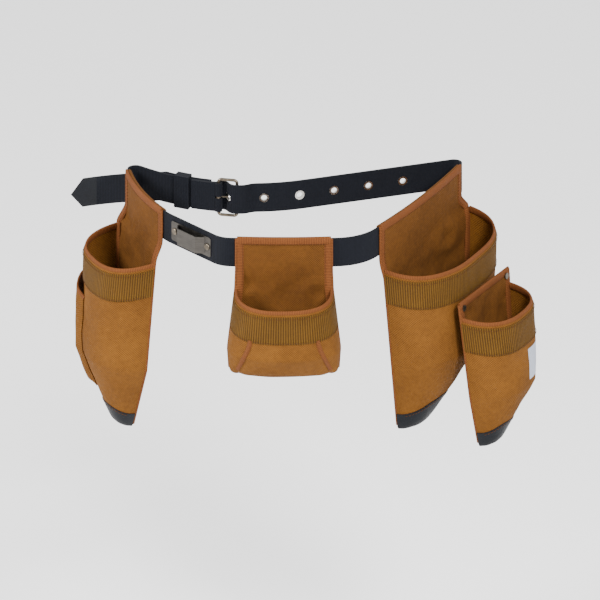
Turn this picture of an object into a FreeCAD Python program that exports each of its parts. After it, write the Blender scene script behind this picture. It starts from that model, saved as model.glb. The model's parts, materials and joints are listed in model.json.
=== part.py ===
import FreeCAD, Part
import math
import os
from FreeCAD import Placement, Rotation, Vector

# Tool belt: a buckled webbing waist belt that carries three canvas tool pouches.
# Millimetres. +Z is up and the wearer faces -Y. The origin is the middle of the waist loop,
# halfway up the webbing.

# Webbing
STRAP_H = 38.1
STRAP_T = 2.4
EYELET_PITCH = 44.5
EYELET_BORE_R = 3.6
EYELET_R = 6.0
EYELET_PROUD = 0.3
EYELETS_RIGHT = 5
TAIL_LENGTH = 208.0
TAIL_TIP = 34.0
TAIL_POINT = 15.0
TAIL_DROP = 44.0
TAIL_BEND = 20.0

# Plan of the loop, from the middle of the front: stretches that bend outward
CENTRE_STRETCH = 134.0
CENTRE_TURN = 10.0
RIGHT_BEND = 54.0
RIGHT_BEND_TURN = 50.0
RIGHT_STRETCH = 218.0
RIGHT_TURN = 12.0
LEFT_BEND = 22.0
LEFT_BEND_TURN = 43.0
CLIP_RUN = 80.0
LEFT_CORNER = 8.0
LEFT_CORNER_TURN = 9.0
LEFT_STRETCH = 136.0
LEFT_TURN = 25.0
FOLD_R = 9.0
RIGHT_FOLD_TURN = 131.0
LEFT_FOLD_TURN = 136.0
BACK_LEAD = 12.0

# Buckle, keeper and clip
BUCKLE_STATION = 0.52
BUCKLE_W = 27.0
BUCKLE_WIRE_R = 1.9
BUCKLE_CLEAR = 3.0
PRONG_R = 1.0
PRONG_SLOT = 3.2
BAR_GAP = 0.3
FOLD_LENGTH = 34.0
JOG_IN = 22.0
JOG_REST = 2.6
KEEPER_W = 19.0
KEEPER_T = 1.8
KEEPER_GAP = 0.8
KEEPER_TRAVEL = 12.0
CLIP_W = 72.0
CLIP_H = 26.0
CLIP_T = 1.2
CLIP_CORNER = 3.0
BRIDGE_W = 33.0
BRIDGE_GAP = 7.0
RIVET_R = 4.5
RIVET_DOME = 2.0
RIVET_EDGE = 1.7
RIVET_BACK = 0.8

# Pouches
CLOTH = 2.0
TUNNEL_WALL = 1.8
TUNNEL_SIDE_GAP = 0.4
TUNNEL_EDGE_GAP = 0.6
SEAM_GAP = 1.0
BINDING_H = 8.0
BINDING_EXTRA = 0.6
BAND_H = 36.0
BAND_T = 1.4
EDGE_W = 6.0
BACK_RELIEF = 1.0
RIM_SPARE = 4.0
TIP_T = 1.2

LEFT = dict(width=122.0, rim_width=130.0, rim_shift=-9.0, rim_drop=32.0, rim_dip=12.0,
            depth=58.0, belly=55.0, height=236.0, shoulder=0.62, shoulder_width=108.0,
            shoulder_shift=-8.0, tip_width=34.0, tip_shift=-6.0, tip_depth=16.0, tip_h=26.0)
CENTRE = dict(width=116.0, rim_width=118.0, rim_shift=0.0, rim_drop=24.0, rim_dip=10.0,
              depth=58.0, belly=50.0, height=106.0, shoulder=0.72, shoulder_width=136.0,
              shoulder_shift=0.0, tip_width=132.0, tip_shift=0.0, tip_depth=30.0, tip_h=0.0)
RIGHT = dict(width=202.0, rim_width=216.0, rim_shift=6.0, rim_drop=15.0, rim_dip=14.0,
             depth=67.0, belly=60.0, height=214.0, shoulder=0.62, shoulder_width=190.0,
             shoulder_shift=-2.0, tip_width=48.0, tip_shift=-70.0, tip_depth=18.0, tip_h=26.0)
SECOND = dict(width=124.0, rim_width=122.0, rim_shift=0.0, rim_drop=18.0, rim_dip=10.0,
              depth=52.0, belly=48.0, height=174.0, shoulder=0.62, shoulder_width=108.0,
              shoulder_shift=-2.0, tip_width=34.0, tip_shift=-30.0, tip_depth=16.0, tip_h=24.0)
LEFT_TILT = 3.0
CENTRE_TILT = 5.0
RIGHT_TILT = 4.0
SECOND_TILT = 2.0
SECOND_SHIFT = 12.0
SECOND_DROP = 72.0
SECOND_GAP = 1.0
LABEL_W = 26.0
LABEL_H = 40.0
LABEL_T = 0.6
LABEL_GAP = 12.0
LABEL_SHARE = 0.04
SECOND_RIVET_R = 4.0
SECOND_RIVET_IN = 8.0
SECOND_RIVET_DOWN = 7.0
SLEEVE_STANDOFF = 7.0
SLEEVE_SHARE = 0.34
SLEEVE_SLOPE = 30.0
SLEEVE_TOP_GAP = 6.0
SLEEVE_FLOOR_GAP = 18.0

# Cutting blocks are larger than any pouch
WIDE = 600.0

os.makedirs("parts", exist_ok=True)


def save(name, *solids):
    """Write one node, of one or more separate solids."""
    flat = [s for shape in solids for s in shape.Solids]
    shape = flat[0] if len(flat) == 1 else Part.makeCompound(flat)
    assert flat and shape.isValid(), name
    shape.exportStep("parts/" + name + ".step")


# ---- the plan of the strap ----

def advance(pose, length, turn):
    """The pose (x, y, heading in degrees) after a run that turns left by turn degrees."""
    x, y, heading = pose
    a = math.radians(heading)
    b = math.radians(heading + turn)
    if abs(turn) < 1e-9:
        return x + length * math.cos(a), y + length * math.sin(a), heading
    radius = length / math.radians(turn)
    x += radius * (math.sin(b) - math.sin(a))
    y -= radius * (math.cos(b) - math.cos(a))
    return x, y, heading + turn


def beside(pose, offset):
    """The point at a distance to the outside (the right hand) of a pose."""
    a = math.radians(pose[2])
    return Vector(pose[0] + offset * math.sin(a), pose[1] - offset * math.cos(a), 0)


def follow(pose, runs):
    """The poses at the ends of a chain of (length, turn) runs."""
    poses = [pose]
    for length, turn in runs:
        poses.append(advance(poses[-1], length, turn))
    return poses


def side_edges(pose, runs, offset):
    """Edges along a chain of runs, at an offset to the outside."""
    edges = []
    for length, turn in runs:
        start = beside(pose, offset)
        middle = beside(advance(pose, length / 2, turn / 2), offset)
        pose = advance(pose, length, turn)
        end = beside(pose, offset)
        if abs(turn) < 1e-9:
            edges.append(Part.LineSegment(start, end).toShape())
        else:
            edges.append(Part.Arc(start, middle, end).toShape())
    return edges


def ribbon(pose, runs, inner, outer, low, high):
    """A solid strip along a chain of runs, between two offsets and two heights."""
    last = follow(pose, runs)[-1]
    edges = side_edges(pose, runs, outer)
    edges.append(Part.LineSegment(beside(last, outer), beside(last, inner)).toShape())
    edges += side_edges(pose, runs, inner)
    edges.append(Part.LineSegment(beside(pose, inner), beside(pose, outer)).toShape())
    wire = Part.Wire(Part.__sortEdges__(edges))
    face = Part.Face(wire)
    face.translate(Vector(0, 0, low))
    return face.extrude(Vector(0, 0, high - low))


def fold_run(turn):
    return FOLD_R * math.radians(turn), turn


RIGHT_SIDE = [(CENTRE_STRETCH / 2, CENTRE_TURN / 2), (RIGHT_BEND, RIGHT_BEND_TURN),
              (RIGHT_STRETCH, RIGHT_TURN), fold_run(RIGHT_FOLD_TURN)]
LEFT_SIDE = [(CENTRE_STRETCH / 2, CENTRE_TURN / 2), (LEFT_BEND, LEFT_BEND_TURN),
             (CLIP_RUN, 0.0), (LEFT_CORNER, LEFT_CORNER_TURN),
             (LEFT_STRETCH, LEFT_TURN), fold_run(LEFT_FOLD_TURN)]
raw_right = follow((0.0, 0.0, 0.0), RIGHT_SIDE)
raw_left = follow((0.0, 0.0, 0.0), [(-length, -turn) for length, turn in LEFT_SIDE])


def back_runs(start, end):
    """The straight, arc and straight that join two poses across the back."""
    a = math.radians(start[2])
    b = math.radians(end[2])
    dx = end[0] - start[0]
    dy = end[1] - start[1]
    cross = math.cos(a) * math.sin(b) - math.sin(a) * math.cos(b)
    first = (dx * math.sin(b) - dy * math.cos(b)) / cross
    second = (dy * math.cos(a) - dx * math.sin(a)) / cross
    turn = end[2] - start[2]
    tangent = min(first, second) - BACK_LEAD
    radius = tangent / math.tan(math.radians(abs(turn)) / 2)
    arc = (radius * math.radians(abs(turn)), turn)
    return [(first - tangent, 0.0), arc, (second - tangent, 0.0)]


left_start = (raw_left[-1][0], raw_left[-1][1], raw_left[-1][2] + 360.0)
BACK = back_runs(raw_right[-1], left_start)
xs = [raw_left[-2][0], raw_right[-2][0]]
ys = [0.0, raw_right[-2][1]]
CENTRE_X = sum(xs) / 2
CENTRE_Y = sum(ys) / 2


def centred(pose):
    return pose[0] - CENTRE_X, pose[1] - CENTRE_Y, pose[2]


FRONT = centred((0.0, 0.0, 0.0))
right_poses = follow(FRONT, RIGHT_SIDE)
left_poses = follow(FRONT, [(-length, -turn) for length, turn in LEFT_SIDE])
BACK_R = BACK[1][0] / math.radians(-BACK[1][1])

# ---- the belt itself ----

half = STRAP_T / 2
top = STRAP_H / 2
arc_length, arc_turn = BACK[1]
turn_rate = arc_turn / arc_length
back_start = advance(right_poses[-1], *BACK[0])
bar_station = arc_length * BUCKLE_STATION
back_at_bar = advance(back_start, bar_station, bar_station * turn_rate)
# The webbing folds round the bar, so the bar lies between its two layers.
bar_offset = -half
bar_point = beside(back_at_bar, bar_offset)
loop_r = BUCKLE_WIRE_R + BAR_GAP + STRAP_T
bar_to_bar = BUCKLE_W - 2 * BUCKLE_WIRE_R
bow = bar_to_bar ** 2 / (2 * BACK_R)
under_far = bar_offset - BUCKLE_WIRE_R - BAR_GAP - half - bow - 0.2
over_loop = bar_offset + loop_r + BAR_GAP + half


def along_back(station, offset=0.0):
    """The pose on the back arc at a station, moved outward by an offset."""
    pose = advance(back_start, station, station * turn_rate)
    point = beside(pose, offset)
    return point.x, point.y, pose[2]


def beside_arc(length, offset):
    """A run beside a length of the back arc, at an offset to the outside."""
    return length * (BACK_R - offset) / BACK_R, length * turn_rate


def jog(rise, length):
    """Two equal and opposite arcs that move the strap outward over a length."""
    angle = 2 * math.atan2(abs(rise), length)
    run = length / 2 / math.sin(angle) * angle
    turn = math.copysign(math.degrees(angle), rise)
    bowed = length / 2 * turn_rate
    return [(run, bowed - turn), (run, bowed + turn)]


def strip(pose, runs, low=-STRAP_H / 2, high=STRAP_H / 2, thickness=STRAP_T):
    return ribbon(pose, runs, -thickness / 2, thickness / 2, low, high)


def strap_loop():
    """The webbing from the bar all the way round to the inner side of the buckle."""
    runs = [(arc_length - bar_station, arc_turn - bar_station * turn_rate), BACK[2]]
    runs += list(reversed(LEFT_SIDE)) + RIGHT_SIDE + [BACK[0]]
    to_jog = bar_station - bar_to_bar - JOG_IN - JOG_REST
    runs.append((to_jog, to_jog * turn_rate))
    return runs


loop_runs = strap_loop()
loop_end = follow(back_at_bar, loop_runs)[-1]
jog_runs = jog(under_far, JOG_IN) + [(2 * JOG_REST, 2 * JOG_REST * turn_rate)]
window = jog(over_loop - under_far, bar_to_bar - 2 * JOG_REST)
tongue_runs = jog_runs + window + [(2 * JOG_REST, 2 * JOG_REST * turn_rate)]
tongue_end = follow(loop_end, tongue_runs)[-1]
arc_left = arc_length - bar_station - JOG_REST
past_fold = BACK[2][0] + FOLD_R
tail_runs = [beside_arc(arc_left, over_loop), (past_fold, 0.0)]
tail_runs.append((TAIL_LENGTH - arc_left - past_fold, TAIL_BEND))
tail_end = follow(tongue_end, tail_runs)[-1]


def cross_disc(point, heading, radius, thickness):
    """A disc whose axis runs through the strap at a point."""
    a = math.radians(heading)
    normal = Vector(math.sin(a), -math.cos(a), 0)
    return Part.makeCylinder(radius, thickness, point - normal * (thickness / 2), normal)


def before_end(distance):
    """The pose on the strap at a distance before the start of the tongue."""
    pose = loop_end
    for length, turn in reversed(loop_runs):
        step = min(length, distance)
        pose = advance(pose, -step, -turn * step / length)
        distance -= step
        if distance <= 0:
            return pose
    return pose


def eyelet_places():
    """The middles and headings of all the eyelets, the first one on the prong."""
    in_use = follow(loop_end, jog_runs + window[:1])[-1]
    first = EYELET_PITCH - JOG_IN - 2 * JOG_REST - (bar_to_bar - 2 * JOG_REST) / 2
    others = [before_end(first + EYELET_PITCH * i) for i in range(EYELETS_RIGHT)]
    return [(beside(pose, 0), pose[2]) for pose in [in_use] + others]


def tail_band(start, reach, drop, point):
    """The outline of the drooping tail, seen square on, as a block through the strap."""
    ahead = (beside(tail_end, 0) - beside(start, 0)).normalize()
    a = math.atan2(ahead.y, ahead.x)
    out = Vector(math.sin(a), -math.cos(a), 0) * 60
    at = beside(start, 0) - out

    def corner(along, up):
        return at + ahead * along + Vector(0, 0, up - drop * max(0.0, along) / reach)

    points = [corner(-60, -top), corner(0, -top), corner(reach - point, -top),
              corner(reach, 0), corner(reach - point, top), corner(0, top), corner(-60, top)]
    return Part.Face(Part.makePolygon(points + points[:1])).extrude(out * 2)


def bar_cylinder(radius, height):
    low = bar_point - Vector(0, 0, height / 2)
    return Part.makeCylinder(radius, height, low)


def make_belt():
    loop = strip(back_at_bar, loop_runs)
    tongue = strip(loop_end, tongue_runs)
    tail = strip(tongue_end, tail_runs, -top - TAIL_DROP - 5)
    keeper_end = FOLD_LENGTH + KEEPER_W + KEEPER_TRAVEL + 6.0
    droop_from = follow(tongue_end, [beside_arc(keeper_end, over_loop)])[-1]
    end = beside(tail_end, 0) - beside(droop_from, 0)
    tail = tail.common(tail_band(droop_from, end.Length, TAIL_DROP, TAIL_POINT))
    leaf_start = along_back(bar_station, -STRAP_T)
    leaf = strip(leaf_start, [beside_arc(FOLD_LENGTH, -STRAP_T)])
    fold = bar_cylinder(loop_r, STRAP_H)
    webbing = loop.fuse([tongue, tail, leaf, fold])
    webbing = webbing.cut(bar_cylinder(BUCKLE_WIRE_R + BAR_GAP, STRAP_H + 2))
    slot = Part.makeBox(40, 30, PRONG_SLOT, Vector(0, -15, -PRONG_SLOT / 2))
    slot.translate(Vector(-6, 0, 0))
    to_right = Rotation(Vector(0, 0, 1), back_at_bar[2] + 180)
    slot.Placement = Placement(bar_point, to_right).multiply(slot.Placement)
    reach = bar_cylinder(loop_r + 0.2, STRAP_H)
    webbing = webbing.cut(slot.common(reach))
    rings = []
    for point, heading in eyelet_places():
        webbing = webbing.cut(cross_disc(point, heading, EYELET_R, 12.0))
        ring = cross_disc(point, heading, EYELET_R, STRAP_T + 2 * EYELET_PROUD)
        rings.append(ring.cut(cross_disc(point, heading, EYELET_BORE_R, 12.0)))
    ahead = Vector(math.cos(math.radians(tail_end[2])), math.sin(math.radians(tail_end[2])), 0)
    box = Part.makeBox(TAIL_TIP + 20, 40, 4 * STRAP_H, Vector(-TAIL_TIP, -20, -3 * STRAP_H))
    box.Placement = Placement(beside(tail_end, 0), Rotation(Vector(0, 0, 1), tail_end[2]))\
        .multiply(box.Placement)
    save("strap_tip", webbing.common(box))
    save("strap_webbing", webbing.cut(box))
    save("strap_eyelets", *rings)


def make_buckle():
    """A frame of round wire with its bar in the fold, and the prong."""
    w = BUCKLE_WIRE_R
    inner_h = STRAP_H + 2 * BUCKLE_CLEAR
    centre_h = inner_h / 2 + w
    corner = 4.0
    straight = Placement(bar_point, Rotation(Vector(0, 0, 1), back_at_bar[2] + 180))

    def point(x, z):
        return Vector(x, 0, z)

    x1 = bar_to_bar
    k = corner * (1 - math.sqrt(0.5))
    edges = []
    for sz in (1, -1):
        edges.append(Part.LineSegment(point(corner, sz * centre_h),
                                      point(x1 - corner, sz * centre_h)).toShape())
        edges.append(Part.Arc(point(x1 - corner, sz * centre_h),
                              point(x1 - k, sz * (centre_h - k)),
                              point(x1, sz * (centre_h - corner))).toShape())
        edges.append(Part.Arc(point(0, sz * (centre_h - corner)),
                              point(k, sz * (centre_h - k)),
                              point(corner, sz * centre_h)).toShape())
    for x in (0, x1):
        edges.append(Part.LineSegment(point(x, -(centre_h - corner)),
                                      point(x, centre_h - corner)).toShape())
    path = Part.Wire(Part.__sortEdges__(edges))
    start = path.OrderedEdges[0]
    at = start.valueAt(start.FirstParameter)
    tangent = start.tangentAt(start.FirstParameter)
    profile = Part.Wire(Part.makeCircle(w, at, tangent))
    frame = path.makePipeShell([profile], True, False, 2)
    frame.Placement = straight
    save("buckle_frame", frame)
    # The prong: a ring on the bar, and a pin that rests on the far side of the frame
    eye = Part.makeCylinder(w + 1.6, PRONG_SLOT - 0.6, Vector(0, 0, -(PRONG_SLOT - 0.6) / 2))
    hole = Part.makeCylinder(w + 0.1, PRONG_SLOT, Vector(0, 0, -PRONG_SLOT / 2))
    tip = Vector(x1 + 1.0, w + PRONG_R + 0.1, 0)
    start = Vector(0, 0.6, 0)
    pin = Part.makeCylinder(PRONG_R, (tip - start).Length, start, tip - start)
    pin = pin.fuse(Part.makeSphere(PRONG_R, tip))
    prong = eye.fuse(pin).cut(hole)
    prong.Placement = straight
    save("buckle_prong", prong)


def make_keeper():
    """A flat loop of webbing round both layers of the strap."""
    station = bar_station + FOLD_LENGTH + 4.0
    inner = -half - KEEPER_GAP
    outer = over_loop + half + KEEPER_GAP
    pose = along_back(station)
    run = [(KEEPER_W, KEEPER_W * turn_rate)]
    edge = top + KEEPER_GAP
    body = ribbon(pose, run, inner - KEEPER_T, outer + KEEPER_T, -edge - KEEPER_T, edge + KEEPER_T)
    wider = advance(pose, -1.0, -turn_rate)
    hole = ribbon(wider, [(KEEPER_W + 2, (KEEPER_W + 2) * turn_rate)], inner, outer, -edge, edge)
    save("keeper_loop", body.cut(hole))


def local_frame(pose, tilt=0.0, pivot=Vector(0, 0, 0)):
    """Where a piece modelled at the strap's middle goes: X along, -Y outward, Z up."""
    place = Placement(Vector(pose[0], pose[1], 0), Rotation(Vector(0, 0, 1), pose[2]))
    swing = Placement(Vector(0, 0, 0), Rotation(Vector(1, 0, 0), -tilt), pivot)
    return place.multiply(swing)


def make_clip():
    """A steel plate on the strap with a raised bridge that a tool's hook slides over."""
    middle = follow(FRONT, [(-length, -turn) for length, turn in LEFT_SIDE[:2]]
                    + [(-CLIP_RUN / 2, 0.0)])[-1]
    place = local_frame(middle)
    face = -half
    plate = Part.makeBox(CLIP_W, CLIP_T, CLIP_H, Vector(-CLIP_W / 2, face - CLIP_T, -CLIP_H / 2))
    corners = [e for e in plate.Edges if abs(e.Length - CLIP_T) < 1e-6]
    plate = plate.makeFillet(CLIP_CORNER, corners)
    reach = BRIDGE_GAP + CLIP_T
    y = face - CLIP_T
    outer = [(-BRIDGE_W / 2 - reach, y), (-BRIDGE_W / 2, y - reach),
             (BRIDGE_W / 2, y - reach), (BRIDGE_W / 2 + reach, y)]
    inset = CLIP_T * 1.4
    inner = [(BRIDGE_W / 2 + reach - inset, y), (BRIDGE_W / 2 - CLIP_T / 2, y - BRIDGE_GAP),
             (-BRIDGE_W / 2 + CLIP_T / 2, y - BRIDGE_GAP), (-BRIDGE_W / 2 - reach + inset, y)]
    points = [Vector(px, py, -CLIP_H / 2 + 2) for px, py in outer + inner]
    bridge = Part.Face(Part.makePolygon(points + points[:1])).extrude(Vector(0, 0, CLIP_H - 4))
    rivets = []
    for side in (-1, 1):
        x = side * (CLIP_W / 2 - RIVET_R - RIVET_EDGE)
        head = Part.makeCylinder(RIVET_R, RIVET_DOME, Vector(x, y, 0), Vector(0, -1, 0))
        rims = [e for e in head.Edges if e.BoundBox.YMax < y - RIVET_DOME + 0.01]
        rivets.append(head.makeFillet(RIVET_DOME * 0.8, rims))
        rivets.append(Part.makeCylinder(RIVET_R, RIVET_BACK, Vector(x, half, 0), Vector(0, 1, 0)))
    for name, shapes in (("clip_plate", [plate]), ("clip_bridge", [bridge]),
                         ("clip_rivets", rivets)):
        for shape in shapes:
            shape.Placement = place.multiply(shape.Placement)
        save(name, *shapes)


# ---- the pouches ----

def sector(radius, inner, outer, width, low, high):
    """Part of a ring round (0, radius), from one offset to another."""
    a = width / 2 / radius
    r1 = radius + inner
    r2 = radius + outer

    def at(r, angle):
        return Vector(r * math.sin(angle), radius - r * math.cos(angle), low)

    edges = [Part.Arc(at(r2, -a), at(r2, 0), at(r2, a)).toShape(),
             Part.LineSegment(at(r2, a), at(r1, a)).toShape(),
             Part.Arc(at(r1, a), at(r1, 0), at(r1, -a)).toShape(),
             Part.LineSegment(at(r1, -a), at(r2, -a)).toShape()]
    return Part.Face(Part.Wire(edges)).extrude(Vector(0, 0, high - low))


SLOT_OUT = half + TUNNEL_SIDE_GAP
SLOT_TOP = top + TUNNEL_EDGE_GAP
TUNNEL_TOP = SLOT_TOP + TUNNEL_WALL
SEAM = -TUNNEL_TOP - SEAM_GAP
PANEL_FACE = -(SLOT_OUT + TUNNEL_WALL)


def tunnel(radius, width):
    """The sleeve of cloth that the strap runs through."""
    outer = SLOT_OUT + TUNNEL_WALL
    body = sector(radius, -outer, outer, width, -TUNNEL_TOP, TUNNEL_TOP)
    slot = sector(radius, -SLOT_OUT, SLOT_OUT, width + 10, -SLOT_TOP, SLOT_TOP)
    return body.cut(slot)


def dee(x0, x1, y_back, depth, z):
    """A closed outline: straight at the back, and bowed outward by depth."""
    middle = (x0 + x1) / 2
    a = (x1 - x0) / 2
    points = []
    for i in range(9):
        angle = math.pi * i / 8
        across = math.copysign(abs(math.cos(angle)) ** 0.8, math.cos(angle))
        points.append(Vector(middle - a * across, y_back - depth * math.sin(angle) ** 0.8, z))
    points[0] = Vector(x0, y_back, z)
    points[-1] = Vector(x1, y_back, z)
    curve = Part.BSplineCurve()
    curve.interpolate(points)
    return Part.Wire([curve.toShape(), Part.LineSegment(points[-1], points[0]).toShape()])


def levels(p):
    """The heights, spans and depths of a pouch, from its rim to its bottom."""
    rim = SEAM - p["rim_drop"]
    return [(rim, p["rim_shift"], p["rim_width"], p["depth"]),
            (rim - p["height"] * p["shoulder"], p["shoulder_shift"], p["shoulder_width"],
             p["belly"]),
            (rim - p["height"], p["tip_shift"], p["tip_width"], p["tip_depth"])]


def bag(p, grow=0.0, back=0.0, up=0.0, down=0.0):
    """The pouch's outer shape, grown sideways and outward, extended up and down."""
    rows = levels(p)
    if up:
        rows.insert(0, (rows[0][0] + up,) + rows[0][1:])
    if down:
        rows.append((rows[-1][0] - down,) + rows[-1][1:])
    wires = []
    for z, shift, width, depth in rows:
        x = width / 2 + grow
        wires.append(dee(shift - x, shift + x, PANEL_FACE + back, depth + grow + back, z))
    return Part.makeLoft(wires, True, True)


def rim_cut(p, drop):
    """A block that holds everything above the slanting rim, lowered by drop."""
    rim = SEAM - p["rim_drop"]
    dip = math.degrees(math.atan2(p["rim_dip"], p["depth"]))
    block = Part.makeBox(WIDE, WIDE, WIDE, Vector(-WIDE / 2, -WIDE / 2, 0))
    block.Placement = Placement(Vector(0, PANEL_FACE, rim - drop),
                                Rotation(Vector(1, 0, 0), dip))
    return block


def bottom_of(p):
    return SEAM - p["rim_drop"] - p["height"]


def front_nodes(p):
    """The bellied front, the tape round its rim and the ribbed band under that."""
    up = p["rim_dip"] + RIM_SPARE
    outer = bag(p, up=up)
    inner = bag(p, -CLOTH, BACK_RELIEF, up)
    floor = bottom_of(p) + CLOTH * 1.5
    inner = inner.cut(Part.makeBox(WIDE, WIDE, WIDE, Vector(-WIDE / 2, -WIDE / 2, floor - WIDE)))
    thick = bag(p, BINDING_EXTRA, up=up).cut(bag(p, -CLOTH - BINDING_EXTRA, BACK_RELIEF, up))
    banded = bag(p, BAND_T, up=up).cut(outer)
    return {"front": outer.cut(inner).cut(rim_cut(p, BINDING_H)),
            "rim_binding": thick.cut(rim_cut(p, 0.0)).common(rim_cut(p, BINDING_H)),
            "band": banded.common(rim_cut(p, BINDING_H + BAND_H)).cut(rim_cut(p, BINDING_H + 0.01))}


def slab(p, from_side, to_side, front, back):
    """A flat strip of the back panel's outline, between two functions of its half width."""
    wires = []
    for z, shift, width, _ in [(SEAM, 0.0, p["width"], 0.0)] + levels(p):
        a = shift + from_side(width / 2)
        b = shift + to_side(width / 2)
        corners = [Vector(a, front, z), Vector(b, front, z), Vector(b, back, z), Vector(a, back, z)]
        wires.append(Part.makePolygon(corners + corners[:1]))
    return Part.makeLoft(wires, True, True)


def panel_nodes(p):
    """The back panel from the seam to the bottom, and the tape down its two sides."""
    front = PANEL_FACE
    back = PANEL_FACE + CLOTH
    edges = []
    for side in (-1, 1):
        edge = slab(p, lambda a: side * a, lambda a: side * (a + EDGE_W),
                    front - BINDING_EXTRA, back + BINDING_EXTRA)
        edges.append(edge.cut(bag(p, BAND_T + 0.02, up=(p["rim_dip"] + RIM_SPARE) / 2)))
    return {"back_panel": slab(p, lambda a: -a, lambda a: a, front, back),
            "edge_binding": Part.makeCompound(edges)}


def tip_node(p):
    """The leather cap round the bottom."""
    cap = bag(p, TIP_T, down=TIP_T).cut(bag(p, up=p["rim_dip"] + RIM_SPARE))
    corner = Vector(-WIDE / 2, -WIDE / 2, bottom_of(p) - TIP_T)
    return cap.common(Part.makeBox(WIDE, WIDE, p["tip_h"] + TIP_T, corner))


def make_pouch(name, p, place):
    """The sewn nodes of one pouch, put in their place."""
    nodes = front_nodes(p)
    nodes.update(panel_nodes(p))
    if p["tip_h"]:
        nodes["tip"] = tip_node(p)
    for part, shape in nodes.items():
        shape.Placement = place.multiply(shape.Placement)
        save(name + "_" + part, shape)


def stretch_pose(poses, index, length, turn, backward=False):
    sign = -1 if backward else 1
    return advance(poses[index], sign * length / 2, sign * turn / 2)


def radius_of(length, turn):
    return length / math.radians(turn)


centre_pose = FRONT
right_pose = stretch_pose(right_poses, 2, RIGHT_STRETCH, RIGHT_TURN)
left_pose = stretch_pose(left_poses, 4, LEFT_STRETCH, LEFT_TURN, True)


def make_tunnels():
    for name, p, pose, length, turn in (
            ("left", LEFT, left_pose, LEFT_STRETCH, LEFT_TURN),
            ("centre", CENTRE, centre_pose, CENTRE_STRETCH, CENTRE_TURN),
            ("right", RIGHT, right_pose, RIGHT_STRETCH, RIGHT_TURN)):
        solid = tunnel(radius_of(length, turn), p["width"])
        solid.Placement = local_frame(pose)
        save(name + "_tunnel", solid)


def make_second_trim(place):
    """The rivets that the small pouch hangs from, and its plain woven label."""
    rivets = []
    for side in (-1, 1):
        spot = Vector(side * (SECOND["width"] / 2 - SECOND_RIVET_IN), PANEL_FACE,
                      SEAM - SECOND_RIVET_DOWN)
        rivet = Part.makeCylinder(SECOND_RIVET_R, RIVET_DOME, spot, Vector(0, -1, 0))
        rivet.Placement = place.multiply(rivet.Placement)
        rivets.append(rivet)
    save("second_rivets", *rivets)
    rim = SEAM - SECOND["rim_drop"]
    skin = bag(SECOND, LABEL_T, up=1.0).cut(bag(SECOND, up=1.0))
    low = rim - BINDING_H - BAND_H - LABEL_GAP - LABEL_H
    corner = Vector(SECOND["rim_shift"] + SECOND["rim_width"] * LABEL_SHARE, -WIDE, low)
    patch = Part.makeBox(LABEL_W, WIDE - SECOND["depth"] / 4, LABEL_H, corner)
    label = skin.common(patch)
    label.Placement = place.multiply(label.Placement)
    save("second_label", label)


def block(x, y, z, height=WIDE, depth=WIDE):
    """A cutting block that ends at x and reaches forward from y, up from z."""
    return Part.makeBox(WIDE, depth, height, Vector(x - WIDE, y - depth, z))


def make_sleeve(place):
    """The narrow side pocket sewn on the rear half of the left pouch's front."""
    rim = SEAM - LEFT["rim_drop"]
    high = rim - BINDING_H - BAND_H - SLEEVE_TOP_GAP
    low = bottom_of(LEFT) + LEFT["tip_h"] + SLEEVE_FLOOR_GAP
    edge = LEFT["rim_shift"] - LEFT["rim_width"] * (0.5 - SLEEVE_SHARE)
    inner = bag(LEFT, SLEEVE_STANDOFF).common(block(edge - CLOTH, WIDE / 2, low + CLOTH))
    sleeve = bag(LEFT, SLEEVE_STANDOFF + CLOTH).cut(inner).cut(bag(LEFT))
    sleeve = sleeve.common(block(edge, PANEL_FACE - BACK_RELIEF, low, high - low))
    slope = Part.makeBox(WIDE, WIDE, WIDE, Vector(-WIDE / 2, -WIDE / 2, 0))
    middle = edge - LEFT["rim_width"] * SLEEVE_SHARE
    slope.Placement = Placement(Vector(middle, 0, high), Rotation(Vector(0, 1, 0), SLEEVE_SLOPE))
    sleeve = sleeve.cut(slope)
    sleeve.Placement = place.multiply(sleeve.Placement)
    save("left_sleeve", sleeve)


def hung_place(pose, tilt):
    return local_frame(pose, tilt, Vector(0, PANEL_FACE, SEAM))


make_belt()
make_buckle()
make_keeper()
make_clip()
make_tunnels()
left_place = hung_place(left_pose, LEFT_TILT)
right_place = hung_place(right_pose, RIGHT_TILT)
make_pouch("left", LEFT, left_place)
make_sleeve(left_place)
make_pouch("centre", CENTRE, hung_place(centre_pose, CENTRE_TILT))
make_pouch("right", RIGHT, right_place)
# The second pouch hangs clear of the widest part of the right one.
second_y = -(max(RIGHT["belly"], RIGHT["depth"]) + BAND_T + CLOTH + BINDING_EXTRA + SECOND_GAP)
hang = Placement(Vector(SECOND_SHIFT, second_y, -SECOND_DROP),
                 Rotation(Vector(1, 0, 0), -SECOND_TILT))
second_place = right_place.multiply(hang)
make_pouch("second", SECOND, second_place)
make_second_trim(second_place)
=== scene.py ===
# %% [markdown]
# # A carpenter's tool belt
# The belt is webbing, buckled into a loop, and three canvas pouches slide along it. A fourth
# hangs on the front of one of them. The metal, the webbing and every hinge line come from the
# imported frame. This lesson makes what is sewn: each pouch is a back panel, a bellied front, a
# ribbed band, folded tape round each raw edge, and rows of stitches.

# %% The frame
import json
import math

import bpy
import numpy as np
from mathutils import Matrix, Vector, noise


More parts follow.
